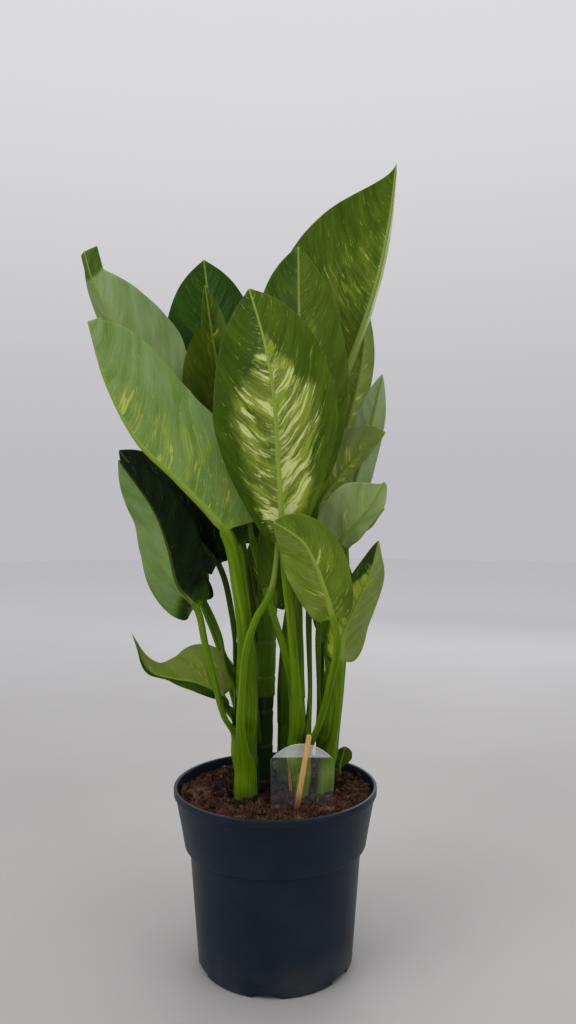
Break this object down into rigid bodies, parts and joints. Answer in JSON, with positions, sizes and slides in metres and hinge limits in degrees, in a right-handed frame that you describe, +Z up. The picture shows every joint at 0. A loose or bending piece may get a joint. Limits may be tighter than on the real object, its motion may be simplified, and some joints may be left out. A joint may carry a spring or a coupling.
{
  "type": "potted dieffenbachia",
  "caption": "Upright bushy dieffenbachia with cream-flecked oval leaves on clasping stalks, rooted in soil in a round nursery pot with a collared rim.",
  "frame": {"origin": "centre of the pot's flat underside, on the surface it stands on", "axes": "+Z up along the pot's axis, +Y away from the plant's front, +X to the right as seen from the front"},
  "size_m": [0.401, 0.2983, 0.9571],
  "materials": {
    "pot_plastic": "satin",
    "soil": "matte",
    "stem": "satin",
    "leaf": "satin",
    "dry_sheath": "matte",
    "stick_wood": "matte",
    "tag_plastic": "satin"
  },
  "bodies": {
    "root": {"pot": "pot_plastic", "soil": "soil", "cane_left": "stem", "cane_centre": "stem", "cane_inner": "stem", "cane_right": "stem", "cane_outer": "stem", "leaf_front_centre": "leaf", "leaf_front_left": "leaf", "leaf_upper_left": "leaf", "leaf_tallest": "leaf", "leaf_upper_right": "leaf", "leaf_top_left": "leaf", "leaf_young_rolled": "leaf", "leaf_inner_left": "leaf", "leaf_left_low": "leaf", "leaf_left_shaded": "leaf", "leaf_left_back": "leaf", "leaf_left_small": "leaf", "leaf_inner_front": "leaf", "leaf_centre_left": "leaf", "leaf_front_low": "leaf", "leaf_right_middle": "leaf", "leaf_right_front": "leaf", "leaf_right_under": "leaf", "leaf_right_upper": "leaf", "leaf_right_back": "leaf", "leaf_right_inner": "leaf", "leaf_right_low": "leaf", "leaf_rear_right": "leaf", "leaf_rear_left": "leaf", "leaf_rear_side": "leaf", "leaf_rear_low": "leaf", "leaf_rear_centre": "leaf", "leaf_rear_inner": "leaf", "leaf_seedling": "leaf", "dry_sheath": "dry_sheath", "label_stick": "stick_wood", "label_tag": "tag_plastic"}
  },
  "joints": []
}
